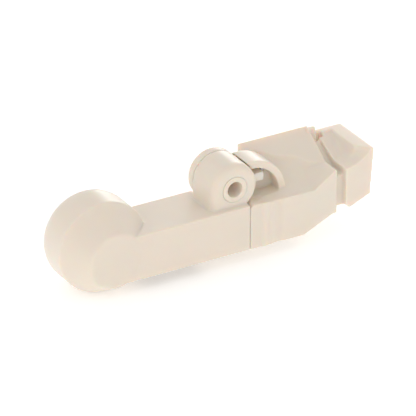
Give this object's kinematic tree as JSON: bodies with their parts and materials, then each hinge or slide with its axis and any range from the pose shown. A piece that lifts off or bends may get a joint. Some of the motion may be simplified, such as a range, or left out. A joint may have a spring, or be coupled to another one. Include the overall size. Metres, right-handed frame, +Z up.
{
  "type": "stair gate latch",
  "caption": "Moulded gate latch: a lever with a round knob is hinged on a hooded housing and draws back a sprung bolt through a steel link.",
  "frame": {"origin": "middle of the hinge bore", "axes": "+X along the latch from the knob to the bolt, +Y along the hinge bore to the back wall, +Z up"},
  "size_m": [0.11, 0.0236, 0.0345],
  "materials": {
    "moulded_handle": "smooth moulded, soft gloss",
    "moulded_housing": "smooth moulded, soft gloss",
    "moulded_bolt": "smooth moulded, soft gloss",
    "moulded_detent": "smooth moulded",
    "acetal_bush": "smooth moulded",
    "zinc_plated_steel": "bright zinc",
    "spring_steel": "drawn wire and strip",
    "stamped_steel": "stamped, deburred"
  },
  "bodies": {
    "housing": {"latch_housing": "moulded_housing", "bottom_cover": "moulded_housing", "cover_screws": "zinc_plated_steel", "pivot_bush": "acetal_bush", "bolt_spring": "spring_steel", "detent_leaf": "spring_steel"},
    "handle": {"handle_lever": "moulded_handle", "pull_pin": "stamped_steel"},
    "bolt": {"bolt": "moulded_bolt", "pull_link": "stamped_steel", "link_pin": "stamped_steel"},
    "detent": {"detent_block": "moulded_detent"}
  },
  "joints": [
    {"name": "handle_hinge", "type": "hinge", "parent": "housing", "child": "handle", "pos_m": [0, 0, 0], "axis": [0, 1, 0], "range_deg": [0, 20], "stiffness_Nm_per_rad": 0.12, "springref_deg": -20.05},
    {"name": "bolt_slide", "type": "slide", "parent": "housing", "child": "bolt", "axis": [-1, 0, 0], "range_m": [0, 0.00257], "stiffness_N_per_m": 100, "springref_m": -0.003, "deforming": ["bolt_spring"]},
    {"name": "detent_slide", "type": "slide", "parent": "housing", "child": "detent", "axis": [1, 0, 0], "range_m": [0, 0.001], "stiffness_N_per_m": 70, "springref_m": -0.001, "deforming": ["detent_leaf"]}
  ],
  "couplings": [
    {"joint": "bolt_slide", "follows": "handle_hinge", "m_per_rad": 0.0073485},
    {"joint": "detent_slide", "follows": "handle_hinge", "m_per_rad": 0.0028648}
  ]
}
